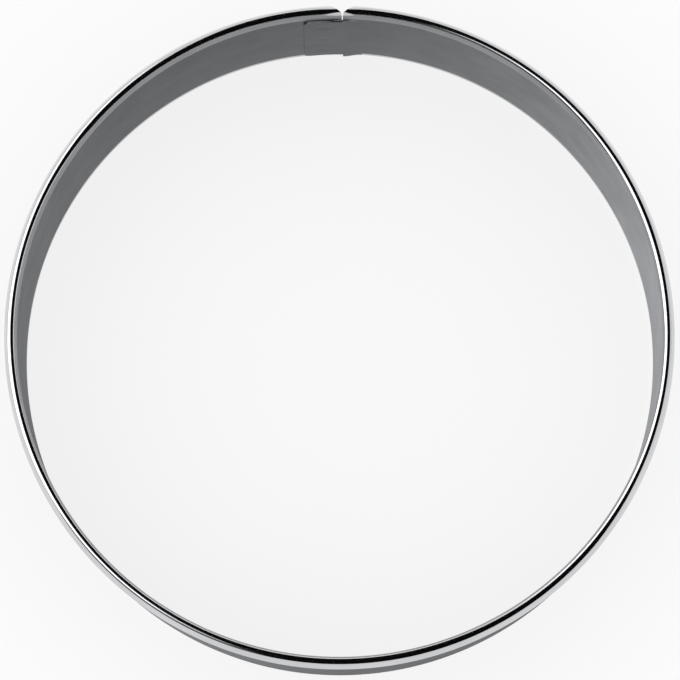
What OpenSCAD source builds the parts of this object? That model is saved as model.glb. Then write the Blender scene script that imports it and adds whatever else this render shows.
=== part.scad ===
/* [Ring] */
// Outer diameter of the wall, which is the size of biscuit that it cuts
ring_d = 80; // [50:1:120]
// Height from the cutting edge to the top of the rim
ring_h = 24.5; // [16:0.5:60]
// Thickness of the stainless strip that everything is formed from
sheet = 0.3; // [0.2:0.05:0.4]

/* [Rolled rim] */
// How far the roll reaches outward from the wall's inner face
rim_reach = 1.5; // [1.3:0.05:2.5]
// Depth of the whole roll below the top of the rim
rim_drop = 2.3; // [2:0.1:4]
// Radius of the tight bend over the top
crown_r = 0.55; // [0.45:0.05:0.6]
// Radius of the fuller bend low down, where the strip turns back to the wall
tuck_r = 0.62; // [0.5:0.02:0.8]
// How far the wall leans outward before it reaches the top bend
crown_lean = 0.06; // [0:0.02:0.2]
// Depth below the top at which the wall starts to lean
lean_drop = 1.5; // [1:0.1:1.9]
// Angle of each cut end of the roll, from the line straight out of the ring
mitre_deg = 50; // [30:1:60]
// Length of flat upright strip at each end of the rim
end_flat = 1.3; // [0.5:0.1:3]
// Gap between the two ends of the rim
butt_gap = 0.12; // [0.05:0.01:0.5]

/* [Lap seam] */
// Length of the tongue that laps inside the other end of the strip
tongue_len = 4.9; // [4:0.1:9]
// Distance from the underside of the roll down to the tongue's top edge
tongue_relief = 0.5; // [0.2:0.1:3]
// Height of the tongue's lower edge above the cutting edge
tongue_foot = 1.2; // [0.9:0.1:3]
// Radius of the tongue's two outer corners
tongue_corner_r = 0.8; // [0.3:0.1:1.5]
// Length over which the strip steps inward by its own thickness
joggle_len = 2.4; // [1.5:0.1:5]

/* [Spot welds] */
// Number of welds up the lap
weld_count = 3; // [2:1:4]
// Diameter of each weld
weld_d = 2; // [1.4:0.1:2.6]
// Depth of the dent that the electrodes leave on each side
weld_dent = 0.05; // [0.02:0.01:0.08]

/* [Cutting edge] */
// Height of the bevel ground on the outside of the lower edge
edge_h = 0.8; // [0.4:0.1:0.8]
// Thickness left at the very edge
edge_land = 0.12; // [0.05:0.01:0.18]

/* [Hidden] */
$fn = 180;

r_out = ring_d / 2;
r_in = r_out - sheet;
r_lap = r_in - sheet;            // inner face of the tongue
z_roll = ring_h - rim_drop;      // underside of the roll
z_tongue = z_roll - tongue_relief;

// The strip starts and ends on the +Y side. Angles run anticlockwise from +X, seen from above.
seam_deg = 90;
gap_deg = arc_deg(butt_gap, r_out);
joggle_deg = arc_deg(joggle_len, r_out);
flat_deg = arc_deg(end_flat, r_out);
tongue_deg = arc_deg(tongue_len, r_in);
joggle_steps = 20;

// Angle taken up by a length measured along a circle
function arc_deg(length, r) = length / r * 180 / PI;

// Smooth step from 0 to 1 with level ends
function ease(s) = s * s * (3 - 2 * s);

function polar(r, deg) = [r * cos(deg), r * sin(deg)];

// A section, drawn with X as the radius and Y as the height, swept round part of the ring
module sweep(from, angle) {
    rotate_extrude(start = from, angle = angle) children();
}

// A plain upright rectangle of strip, between two radii and two heights
module strip_section(r0, r1, z0, z1) {
    translate([r0, z0]) square([r1 - r0, z1 - z0]);
}

// Outline round two discs of different radius, with straight sides touching both
module disc_pair(c1, r1, c2, r2) {
    span = norm(c2 - c1);
    along = atan2(c2[1] - c1[1], c2[0] - c1[0]);
    tilt = acos((r1 - r2) / span);
    translate(c1) circle(r1);
    translate(c2) circle(r2);
    polygon([
        c1 + polar(r1, along + tilt), c1 + polar(r1, along - tilt),
        c2 + polar(r2, along - tilt), c2 + polar(r2, along + tilt)
    ]);
}

// The roll: the wall leans out, turns over a tight bend, comes down and is tucked back to the wall
module rim_section() {
    crown = [r_in + crown_lean + crown_r, ring_h - crown_r];
    tuck = [r_in + rim_reach - tuck_r, z_roll + tuck_r];
    difference() {
        union() {
            polygon([
                [r_in, z_roll], [r_out, z_roll], [r_out + crown_lean, crown[1]],
                [r_in + crown_lean, crown[1]], [r_in, ring_h - lean_drop]
            ]);
            disc_pair(crown, crown_r, tuck, tuck_r);
        }
        disc_pair(crown, crown_r - sheet, tuck, tuck_r - sheet);
    }
}

// The V that the two cut ends make, open to the outside and with its point on the wall's outer face
module end_notch() {
    deep = 2 * rim_reach;
    wide = deep * tan(mitre_deg);
    translate([0, 0, z_roll - 1]) linear_extrude(rim_drop + 2)
        polygon([[0, r_out], [wide, r_out + deep], [-wide, r_out + deep]]);
}

module weld_rods() {
    for (i = [0 : weld_count - 1])
        rotate([0, 0, seam_deg + tongue_deg / 2])
            translate([r_lap - 1, 0, tongue_foot + (z_tongue - tongue_foot) * (i + 0.5) / weld_count])
                rotate([0, 90, 0]) cylinder(d = weld_d, h = 2 * sheet + 2);
}

// Outer layer of the wall, from the strip's plain end right round to the start of the step
module band_wall() {
    color("silver") difference() {
        sweep(seam_deg + gap_deg, 360 - gap_deg - joggle_deg)
            strip_section(r_in, r_out, edge_h, z_roll);
        weld_rods();
    }
}

// Hollow roll along the top, cut off at an angle at both ends, where the wall stands flat
module rolled_rim() {
    color("gainsboro") {
        difference() {
            sweep(seam_deg + gap_deg, 360 - gap_deg) rim_section();
            end_notch();
        }
        sweep(seam_deg + gap_deg, flat_deg) strip_section(r_in, r_out, z_roll, ring_h);
        sweep(seam_deg - flat_deg, flat_deg) strip_section(r_in, r_out, z_roll, ring_h);
    }
}

// The other end of the strip: it steps inward by one thickness and runs on as a tongue with no rim
module lap_tongue() {
    color("darkgray") difference() {
        union() {
            linear_extrude(z_roll) polygon([
                for (i = [0 : joggle_steps])
                    let (s = i / joggle_steps)
                        polar(r_in - sheet * ease(s), seam_deg - joggle_deg * (1 - s)),
                for (i = [joggle_steps : -1 : 0])
                    let (s = i / joggle_steps)
                        polar(r_out - sheet * ease(s), seam_deg - joggle_deg * (1 - s))
            ]);
            intersection() {
                sweep(seam_deg, 2 * tongue_deg) strip_section(r_lap, r_in, 0, ring_h);
                rotate([90, 0, 0]) translate([0, 0, -r_out]) linear_extrude(r_out) tongue_outline();
            }
        }
        weld_rods();
    }
}

// Front view of the tongue, with its two outer corners rounded
module tongue_outline() {
    c = tongue_corner_r;
    translate([-tongue_len + c, tongue_foot]) square([tongue_len - c, z_tongue - tongue_foot]);
    translate([-tongue_len, tongue_foot + c]) square([2 * c, z_tongue - tongue_foot - 2 * c]);
    for (z = [tongue_foot + c, z_tongue - c]) translate([-tongue_len + c, z]) circle(c);
}

// Discs of fused metal that hold the two layers together, each a little below both faces
module spot_welds() {
    color("dimgray") intersection() {
        weld_rods();
        sweep(seam_deg, tongue_deg) strip_section(r_lap + weld_dent, r_out - weld_dent, 0, ring_h);
    }
}

// Lower edge of the strip, ground thin from outside so that the hole it cuts stays straight
module cutting_edge() {
    color("whitesmoke") sweep(seam_deg + gap_deg, 360 - gap_deg - joggle_deg)
        polygon([[r_in, 0], [r_in + edge_land, 0], [r_out, edge_h], [r_in, edge_h]]);
}

band_wall();
rolled_rim();
lap_tongue();
spot_welds();
cutting_edge();
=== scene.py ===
import math

import bmesh
import bpy
from mathutils import Matrix, Vector


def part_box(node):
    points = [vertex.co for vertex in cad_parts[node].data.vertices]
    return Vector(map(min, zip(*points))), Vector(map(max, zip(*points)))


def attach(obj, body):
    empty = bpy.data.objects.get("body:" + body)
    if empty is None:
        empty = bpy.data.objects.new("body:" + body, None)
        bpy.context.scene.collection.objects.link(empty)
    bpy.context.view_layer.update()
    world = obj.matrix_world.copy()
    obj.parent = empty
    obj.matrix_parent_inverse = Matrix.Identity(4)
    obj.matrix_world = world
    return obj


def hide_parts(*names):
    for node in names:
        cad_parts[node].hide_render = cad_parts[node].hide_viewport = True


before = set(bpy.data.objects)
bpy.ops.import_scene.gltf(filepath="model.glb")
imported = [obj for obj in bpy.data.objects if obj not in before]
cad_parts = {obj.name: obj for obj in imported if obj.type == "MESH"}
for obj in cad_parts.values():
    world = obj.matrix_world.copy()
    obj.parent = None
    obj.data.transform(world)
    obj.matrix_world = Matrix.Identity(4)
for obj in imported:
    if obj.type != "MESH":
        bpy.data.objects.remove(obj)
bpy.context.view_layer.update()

MM = 0.001

# Ring, in metres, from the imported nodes
wall_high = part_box("band_wall")[1]
rim_low, rim_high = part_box("rolled_rim")
edge_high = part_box("cutting_edge")[1]
tongue_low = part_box("lap_tongue")[0]
WALL_R = wall_high.x
SHEET = 0.3 * MM
INNER_R = WALL_R - SHEET
TOP = rim_high.z
ROLL_FOOT = rim_low.z
EDGE_TOP = edge_high.z
EDGE_LAND = 0.12 * MM
BUTT_GAP = 0.12 * MM

# Roll along the top
RIM_REACH = rim_high.x - INNER_R
CROWN_R = 0.55 * MM
CROWN_LEAN = 0.06 * MM
TUCK_R = 0.62 * MM
LEAN_FOOT = TOP - 1.5 * MM
LEAN_TOP = 0.3
MITRE = math.radians(50)
TUCK_END = math.radians(-150)
PINCH_R = 0.3 * MM
PINCH_LEAN = 0.36 * MM
PINCH_LEFT = 2.6 * MM
PINCH_RIGHT = 1.7 * MM

# Lap
JOGGLE = 2.4 * MM
TONGUE_LENGTH = -tongue_low.x
TONGUE_FOOT = 1.2 * MM
TONGUE_TOP = ROLL_FOOT - 0.5 * MM
TONGUE_CORNER = 0.8 * MM
WELDS = 3
WELD_R = 1.0 * MM
WELD_DENT = 0.05 * MM
DENT_FLAT = 0.7 * WELD_R
DENT_SLOPE = 0.4 * WELD_R

# Fineness of the meshes
ROUND_STEPS = 480
ARC_STEPS = 14
WALL_ROWS = 12
LEAN_STEPS = 4
PINCH_STEPS = 60
STEP_COLS = 24
TONGUE_COLS = 48
TONGUE_ROWS = 100
CORNER_LEVELS = (0.05, 0.12, 0.2, 0.3, 0.42)
SHARP_ANGLE = math.radians(35)

SEAM = math.pi / 2

# Base colours of the steel, darker and lighter, and how its marks repeat per metre
# The wall's colours are set far below the polished steel's own: painted shade, the dark surroundings it
# reflects painted into the colour
SATIN_AND_SHADE = ((0.2, 0.204, 0.212), (0.3, 0.305, 0.318))
POLISHED = ((0.52, 0.525, 0.54), (0.64, 0.645, 0.66))
GROUND = ((0.5, 0.505, 0.515), (0.62, 0.625, 0.64))
WELD = ((0.22, 0.2, 0.19), (0.36, 0.34, 0.33))
ROLLING_ALONG = 60.0
ROLLING_UP = 9000.0
CLOUD_SCALE = 180.0
FINE_SCALE = 2600.0
BUMP_DEPTH = 0.02 * MM

# Where the satin inner face, darkened there with painted shade, gives way to the polished roll, and how
# much rougher it is
FLANK_INNER = INNER_R + 0.05 * MM
FLANK_OUTER = INNER_R + 0.2 * MM
FLANK_ROUGHER = 0.35

# Studio
CARD_DISTANCE = 1.4
CARD_STEPS = 12
FLOOR_HALF = 3.0
FLOOR_SHADES = ((0.95, 0.95, 0.95), (0.97, 0.97, 0.97))
FLOOR_GLOW = 0.78


def ease(s):
    s = min(max(s, 0.0), 1.0)
    return s * s * (3 - 2 * s)


def blend(a, b, t):
    return a + (b - a) * t


def on_ring(radius, angle, height):
    return (radius * math.cos(angle), radius * math.sin(angle), height)


def sheet_solid(name, face_a, face_b, active=None):
    """A closed sheet between two matching grids of points, without the cells that active leaves out"""
    rows, cols = len(face_a), len(face_a[0])
    cells = {
        (i, j)
        for i in range(rows - 1)
        for j in range(cols - 1)
        if active is None or active(i, j)
    }
    mesh = bmesh.new()
    made = {}

    def corner(side, i, j):
        key = (side, i, j)
        if key not in made:
            made[key] = mesh.verts.new((face_a, face_b)[side][i][j])
        return made[key]

    for i, j in sorted(cells):
        around = [(i, j), (i + 1, j), (i + 1, j + 1), (i, j + 1)]
        mesh.faces.new([corner(0, *p) for p in around])
        mesh.faces.new([corner(1, *p) for p in reversed(around)])
        beside = [(i, j - 1), (i + 1, j), (i, j + 1), (i - 1, j)]
        for k in range(4):
            if beside[k] not in cells:
                p, q = around[k], around[(k + 1) % 4]
                mesh.faces.new([corner(0, *q), corner(0, *p), corner(1, *p), corner(1, *q)])
    bmesh.ops.recalc_face_normals(mesh, faces=mesh.faces)
    data = bpy.data.meshes.new(name)
    mesh.to_mesh(data)
    mesh.free()
    for face in data.polygons:
        face.use_smooth = True
    data.set_sharp_from_angle(angle=SHARP_ANGLE)
    piece = bpy.data.objects.new(name, data)
    bpy.context.scene.collection.objects.link(piece)
    return piece


def finish_piece(piece, material, slot, *nodes):
    piece.data.materials.clear()
    piece.data.materials.append(material)
    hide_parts(*nodes)
    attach(piece, "root")


def weld_places():
    """Angle and height of each spot weld, up the middle of the lap"""
    angle = SEAM + TONGUE_LENGTH / INNER_R / 2
    rise = (TONGUE_TOP - TONGUE_FOOT) / WELDS
    return [(angle, TONGUE_FOOT + rise * (i + 0.5)) for i in range(WELDS)]


def weld_dent(angle, height):
    """Depth of the electrodes' dent at a place on the sheet"""
    deepest = 0.0
    for weld_angle, weld_height in weld_places():
        away = math.hypot((angle - weld_angle) * INNER_R, height - weld_height)
        deepest = max(deepest, WELD_DENT * (1 - ease((away - DENT_FLAT) / DENT_SLOPE)))
    return deepest


def wall_grid(radii, levels, start, end):
    """Rings of points at each level, with the radius given for that level"""
    angles = [blend(start, end, i / ROUND_STEPS) for i in range(ROUND_STEPS + 1)]
    return [[on_ring(r, a, z) for a in angles] for r, z in zip(radii, levels)]


def make_wall():
    start = SEAM + BUTT_GAP / WALL_R
    end = SEAM + math.tau - JOGGLE / WALL_R
    levels = [blend(EDGE_TOP, ROLL_FOOT, k / WALL_ROWS) for k in range(WALL_ROWS + 1)]
    inner = wall_grid([INNER_R] * len(levels), levels, start, end)
    outer = wall_grid([WALL_R] * len(levels), levels, start, end)
    return sheet_solid("ring_wall", inner, outer)


def make_edge():
    start = SEAM + BUTT_GAP / WALL_R
    end = SEAM + math.tau - JOGGLE / WALL_R
    levels = [0.0, EDGE_TOP / 2, EDGE_TOP]
    outer_radii = [blend(INNER_R + EDGE_LAND, WALL_R, z / EDGE_TOP) for z in levels]
    inner = wall_grid([INNER_R] * len(levels), levels, start, end)
    outer = wall_grid(outer_radii, levels, start, end)
    return sheet_solid("ground_edge", inner, outer)


def roll_path(crown_r, lean):
    """Points and outward directions along the visible face of the roll, from the wall over and back"""
    crown = Vector((INNER_R + lean + crown_r, TOP - crown_r))
    tuck = Vector((INNER_R + RIM_REACH - TUCK_R, ROLL_FOOT + TUCK_R))
    between = tuck - crown
    outside = math.atan2(between.y, between.x) + math.acos((crown_r - TUCK_R) / between.length)
    slope = math.atan2(lean, crown.y - LEAN_FOOT)
    path = []
    for z in (ROLL_FOOT, blend(ROLL_FOOT, LEAN_FOOT, 0.5)):
        path.append((Vector((INNER_R, z)), Vector((-1, 0))))
    for k in range(LEAN_STEPS + 1):
        bend = slope * ease(k / LEAN_STEPS)
        along = k / LEAN_STEPS * LEAN_TOP
        foot = Vector((INNER_R + lean * along ** 2, blend(LEAN_FOOT, crown.y, along)))
        path.append((foot, Vector((-math.cos(bend), math.sin(bend)))))
    for k in range(2 * ARC_STEPS + 1):
        angle = blend(math.pi - slope, outside, k / (2 * ARC_STEPS))
        out = Vector((math.cos(angle), math.sin(angle)))
        path.append((crown + crown_r * out, out))
    for k in range(2 * ARC_STEPS + 1):
        angle = blend(outside, TUCK_END, k / (2 * ARC_STEPS))
        out = Vector((math.cos(angle), math.sin(angle)))
        path.append((tuck + TUCK_R * out, out))
    return path


def make_rim():
    """The strip's top rolled outward, with the ends cut at an angle and pinched flat"""
    start = SEAM + BUTT_GAP / WALL_R
    end = SEAM + math.tau
    turn = end - start
    near = [k / PINCH_STEPS * PINCH_LEFT / WALL_R / turn for k in range(PINCH_STEPS)]
    far = [1 - k / PINCH_STEPS * PINCH_RIGHT / WALL_R / turn for k in reversed(range(PINCH_STEPS))]
    middle = [blend(near[-1], far[0], k / ROUND_STEPS) for k in range(1, ROUND_STEPS)]
    face, back = [], []
    for share in near + middle + far:
        from_left = share * turn * WALL_R / PINCH_LEFT
        from_right = (1 - share) * turn * WALL_R / PINCH_RIGHT
        pinch = 1 - ease(min(from_left, from_right))
        path = roll_path(blend(CROWN_R, PINCH_R, pinch), blend(CROWN_LEAN, PINCH_LEAN, pinch))
        for grid, depth in ((face, 0.0), (back, SHEET)):
            ring = []
            for point, out in path:
                spot = point - out * depth
                cut = max(0.0, spot.x - WALL_R) * math.tan(MITRE) / WALL_R
                ring.append(on_ring(spot.x, blend(start + cut, end - cut, share), spot.y))
            grid.append(ring)
    return sheet_solid("rolled_rim_strip", face, back)


def make_tongue():
    """The strip's other end: a step inward by one thickness, then the tongue with rounded corners"""
    tall = TONGUE_TOP - TONGUE_FOOT
    plain = [TONGUE_FOOT + tall * k / TONGUE_ROWS for k in range(TONGUE_ROWS + 1)]
    near = [c * TONGUE_CORNER for c in CORNER_LEVELS]
    levels = [0.0, EDGE_TOP] + plain
    levels += [TONGUE_FOOT + c for c in near] + [TONGUE_TOP - c for c in near]
    levels += [blend(TONGUE_TOP, ROLL_FOOT, k / 5) for k in range(1, 6)]
    levels = sorted(levels)

    def inset(z):
        inward = min(z - TONGUE_FOOT, TONGUE_TOP - z)
        if inward >= TONGUE_CORNER:
            return 0.0
        return TONGUE_CORNER - math.sqrt(max(0.0, TONGUE_CORNER ** 2 - (TONGUE_CORNER - inward) ** 2))

    inner, outer = [], []
    for z in levels:
        inner_row, outer_row = [], []
        rise = ease((z - TONGUE_TOP) / (ROLL_FOOT - TONGUE_TOP))
        thin = max(0.0, 1 - z / EDGE_TOP) * (SHEET - EDGE_LAND)
        for k in range(STEP_COLS + TONGUE_COLS + 1):
            if k <= STEP_COLS:
                share = k / STEP_COLS
                angle = SEAM - JOGGLE / WALL_R * (1 - share)
                step = SHEET * ease(share) * (1 - rise)
                dent = 0.0
            else:
                share = (k - STEP_COLS) / TONGUE_COLS
                angle = SEAM + (TONGUE_LENGTH - inset(z)) / INNER_R * share
                step = SHEET
                dent = weld_dent(angle, z)
            inner_row.append(on_ring(INNER_R - step + dent, angle, z))
            outer_row.append(on_ring(WALL_R - step - thin, angle, z))
        inner.append(inner_row)
        outer.append(outer_row)

    def active(i, j):
        middle = (levels[i] + levels[i + 1]) / 2
        return j < STEP_COLS or TONGUE_FOOT < middle < TONGUE_TOP

    return sheet_solid("lap_tongue_sheet", inner, outer, active)


class Socket:
    """A shader value, with the operators that the materials need"""

    tree = None

    def __init__(self, link):
        self.link = link

    @classmethod
    def node(cls, kind, settings=None, output=0, **inputs):
        made = cls.tree.nodes.new(kind)
        for key, value in (settings or {}).items():
            setattr(made, key, value)
        for key, value in inputs.items():
            socket = made.inputs[int(key[1:])] if key[0] == "i" and key[1:].isdigit() else made.inputs[key]
            if isinstance(value, Socket):
                cls.tree.links.new(value.link, socket)
            else:
                socket.default_value = value
        return cls(made.outputs[output])

    def maths(self, operation, other=0.0, flip=False):
        pair = {"i0": other, "i1": self} if flip else {"i0": self, "i1": other}
        return Socket.node("ShaderNodeMath", {"operation": operation}, **pair)

    def __add__(self, other):
        return self.maths("ADD", other)

    def __sub__(self, other):
        return self.maths("SUBTRACT", other)

    def __rsub__(self, other):
        return self.maths("SUBTRACT", other, flip=True)

    def __mul__(self, other):
        return self.maths("MULTIPLY", other)

    __radd__ = __add__
    __rmul__ = __mul__


def around_and_up():
    """Place on the strip: metres along it, its height, and its radius, from the object's own coordinates"""
    place = Socket.node("ShaderNodeTexCoord", output=3)
    parts = Socket.node("ShaderNodeSeparateXYZ", Vector=place)
    x, y, z = (Socket(parts.link.node.outputs[k]) for k in range(3))
    along = y.maths("ARCTAN2", x) * WALL_R
    radius = (x * x + y * y).maths("SQRT")
    return place, along, z, radius


def noise(along, up, scale_along, scale_up, detail=3.0):
    stretched = Socket.node("ShaderNodeCombineXYZ", X=along * scale_along, Y=up * scale_up)
    return Socket.node("ShaderNodeTexNoise", Vector=stretched, Scale=1.0, Detail=detail, Roughness=0.6)


def window(value, low, high):
    """0 below the low end, 1 above the high end, smooth between"""
    settings = {"interpolation_type": "SMOOTHSTEP"}
    return Socket.node("ShaderNodeMapRange", settings, Value=value, **{"From Min": low, "From Max": high})


def mix(amount, first, second):
    settings = {"data_type": "RGBA"}
    return Socket.node("ShaderNodeMix", settings, output=2, i0=amount, i6=first, i7=second)


def tint(amount, shades):
    dark, light = shades
    return mix(amount, (*dark, 1), (*light, 1))


def steel(name, shades, roughness, spread, lines, bump, stretch, flank_painted_shade=None):
    """Stainless sheet with rolling lines along the strip, cloudy patches and small worn spots.

    Given flank colours, the inner face has those colours as painted shade, a dark band along the roll, and
    is rougher, as the wall below it is.
    """
    material = bpy.data.materials.new(name)
    material.use_nodes = True
    Socket.tree = material.node_tree
    shader = material.node_tree.nodes["Principled BSDF"]
    place, along, up, radius = around_and_up()
    rolling = noise(along, up, ROLLING_ALONG, ROLLING_UP, 4.0)
    cloud = Socket.node("ShaderNodeTexNoise", Vector=place, Scale=CLOUD_SCALE, Detail=4.0)
    fine = Socket.node("ShaderNodeTexNoise", Vector=place, Scale=FINE_SCALE, Detail=2.0)
    shade = rolling * lines + cloud * (1 - lines)
    rough = shade * spread + (roughness - spread / 2) + (fine - 0.5) * (spread * 0.5)
    height = rolling * lines + fine * 0.4
    lighter = window(shade, 0.25, 0.75)
    colour = tint(lighter, shades)
    if flank_painted_shade:
        # Painted shade: the roll's inner flank takes the darker wall colours as a dark band
        flank = 1 - window(radius, FLANK_INNER, FLANK_OUTER)
        colour = mix(flank, colour, tint(lighter, flank_painted_shade))
        rough = rough + flank * FLANK_ROUGHER
    links = material.node_tree.links
    links.new(colour.link, shader.inputs["Base Color"])
    links.new(rough.link, shader.inputs["Roughness"])
    relief = Socket.node("ShaderNodeBump", Strength=bump, Distance=BUMP_DEPTH, Height=height)
    links.new(relief.link, shader.inputs["Normal"])
    shader.inputs["Metallic"].default_value = 1.0
    shader.inputs["Anisotropic"].default_value = stretch
    shader.inputs["Anisotropic Rotation"].default_value = 0.25
    return material


def make_floor():
    """Plain pale floor, shown near white to the camera and to reflections, with the ring's shadow kept"""
    mesh = bmesh.new()
    bmesh.ops.create_grid(mesh, x_segments=2, y_segments=2, size=FLOOR_HALF)
    data = bpy.data.meshes.new("pale_floor")
    mesh.to_mesh(data)
    mesh.free()
    floor = bpy.data.objects.new("pale_floor", data)
    bpy.context.scene.collection.objects.link(floor)
    material = bpy.data.materials.new("pale_floor")
    material.use_nodes = True
    Socket.tree = material.node_tree
    shader = material.node_tree.nodes["Principled BSDF"]
    place = Socket.node("ShaderNodeTexCoord", output=3)
    grain = Socket.node("ShaderNodeTexNoise", Vector=place, Scale=40.0)
    links = material.node_tree.links
    links.new(tint(grain, FLOOR_SHADES).link, shader.inputs["Base Color"])
    shader.inputs["Roughness"].default_value = 0.9
    seen = Socket.node("ShaderNodeLightPath")
    rays = seen.link.node.outputs
    background = Socket(rays["Is Camera Ray"]) + Socket(rays["Is Glossy Ray"])
    background = background + Socket(rays["Is Transmission Ray"])
    glow = Socket.node("ShaderNodeEmission", Color=(1, 1, 1, 1), Strength=1.0)
    own = Socket(shader.outputs[0])
    mixed = Socket.node("ShaderNodeMixShader", i0=background * FLOOR_GLOW, i1=own, i2=glow)
    links.new(mixed.link, material.node_tree.nodes["Material Output"].inputs["Surface"])
    data.materials.append(material)


def make_card(name, across, down, glow):
    """A card on the inside of a dome, which only reflections see, as used for bright metal.

    across runs from -90 degrees on the left to 90 on the right.
    down runs from the zenith, 0, to the front horizon, 90, and is negative towards the back.
    """
    rows = []
    for i in range(CARD_STEPS + 1):
        b = math.radians(blend(*down, i / CARD_STEPS))
        for j in range(CARD_STEPS + 1):
            a = math.radians(blend(*across, j / CARD_STEPS))
            out = Vector((math.sin(a), -math.sin(b) * math.cos(a), math.cos(b) * math.cos(a)))
            rows.append(out * CARD_DISTANCE)
    width = CARD_STEPS + 1
    corners = [i * width + j for i in range(CARD_STEPS) for j in range(CARD_STEPS)]
    cells = [(k, k + 1, k + width + 1, k + width) for k in corners]
    data = bpy.data.meshes.new(name)
    data.from_pydata(rows, [], cells)
    card = bpy.data.objects.new(name, data)
    bpy.context.scene.collection.objects.link(card)
    material = bpy.data.materials.new(name)
    material.use_nodes = True
    shader = material.node_tree.nodes["Principled BSDF"]
    shader.inputs["Base Color"].default_value = (0.004, 0.004, 0.004, 1)
    shader.inputs["Roughness"].default_value = 1.0
    shader.inputs["Specular IOR Level"].default_value = 0.0
    shader.inputs["Emission Color"].default_value = (1, 1, 1, 1)
    shader.inputs["Emission Strength"].default_value = glow
    data.materials.append(material)
    card.visible_camera = False
    card.visible_diffuse = False
    card.visible_shadow = False


def make_camera():
    """Camera at the photograph's angle, almost straight above and a little towards the front"""
    lean_back = 0.1463
    lean_side = 0.0024
    distance = 692 * MM
    focal_px = 5646.7
    photo_px = 680
    aim = Vector((0.08 * MM, -0.885 * MM, TOP))
    out = Vector((math.sin(lean_side), -math.sin(lean_back) * math.cos(lean_side),
                  math.cos(lean_back) * math.cos(lean_side)))
    side = Vector((0, 1, 0)).cross(out).normalized()
    upward = out.cross(side)
    axes = Matrix((side, upward, out)).transposed().to_4x4()
    seam_turn = Matrix.Rotation(math.radians(0.6), 4, "Z")
    data = bpy.data.cameras.new("camera")
    data.sensor_width = 36
    data.lens = focal_px * 36 / photo_px
    data.clip_start = 0.01
    data.clip_end = 50
    camera = bpy.data.objects.new("camera", data)
    camera.matrix_world = seam_turn @ Matrix.Translation(aim + distance * out) @ axes
    bpy.context.scene.collection.objects.link(camera)
    bpy.context.scene.camera = camera


def make_world(strength):
    world = bpy.data.worlds.new("studio")
    bpy.context.scene.world = world
    world.use_nodes = True
    world.node_tree.nodes["Background"].inputs["Color"].default_value = (1, 1, 1, 1)
    world.node_tree.nodes["Background"].inputs["Strength"].default_value = strength


make_camera()
# The wall's steel is darkened with painted shade through its colours
shaded_satin = steel("shaded_satin_stainless", SATIN_AND_SHADE, 0.5, 0.1, 0.5, 0.35, 0.9)
# The polished roll's inner flank gets the wall's darkened colours as painted shade
polished = steel("polished_stainless", POLISHED, 0.1, 0.06, 0.4, 0.15, 0.0, flank_painted_shade=SATIN_AND_SHADE)
ground = steel("ground_stainless", GROUND, 0.3, 0.1, 0.8, 0.5, 0.6)
weld = steel("weld_stainless", WELD, 0.45, 0.1, 0.1, 0.6, 0.0)

finish_piece(make_wall(), shaded_satin, "satin_wall", "band_wall")
finish_piece(make_edge(), ground, "ground_edge", "cutting_edge")
finish_piece(make_rim(), polished, "polished_rim", "rolled_rim")
finish_piece(make_tongue(), shaded_satin, "satin_wall", "lap_tongue")
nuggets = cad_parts["spot_welds"]
nuggets.data.materials.clear()
nuggets.data.materials.append(weld)

make_floor()
make_card("dark_card", (-14, 58), (-55, 86), 0.0)
make_card("left_card", (-86, -22), (-50, 36), 2.8)
make_card("front_card", (-62, -14), (42, 88), 0.12)
make_world(1.0)

scene = bpy.context.scene
scene.view_settings.view_transform = "Standard"
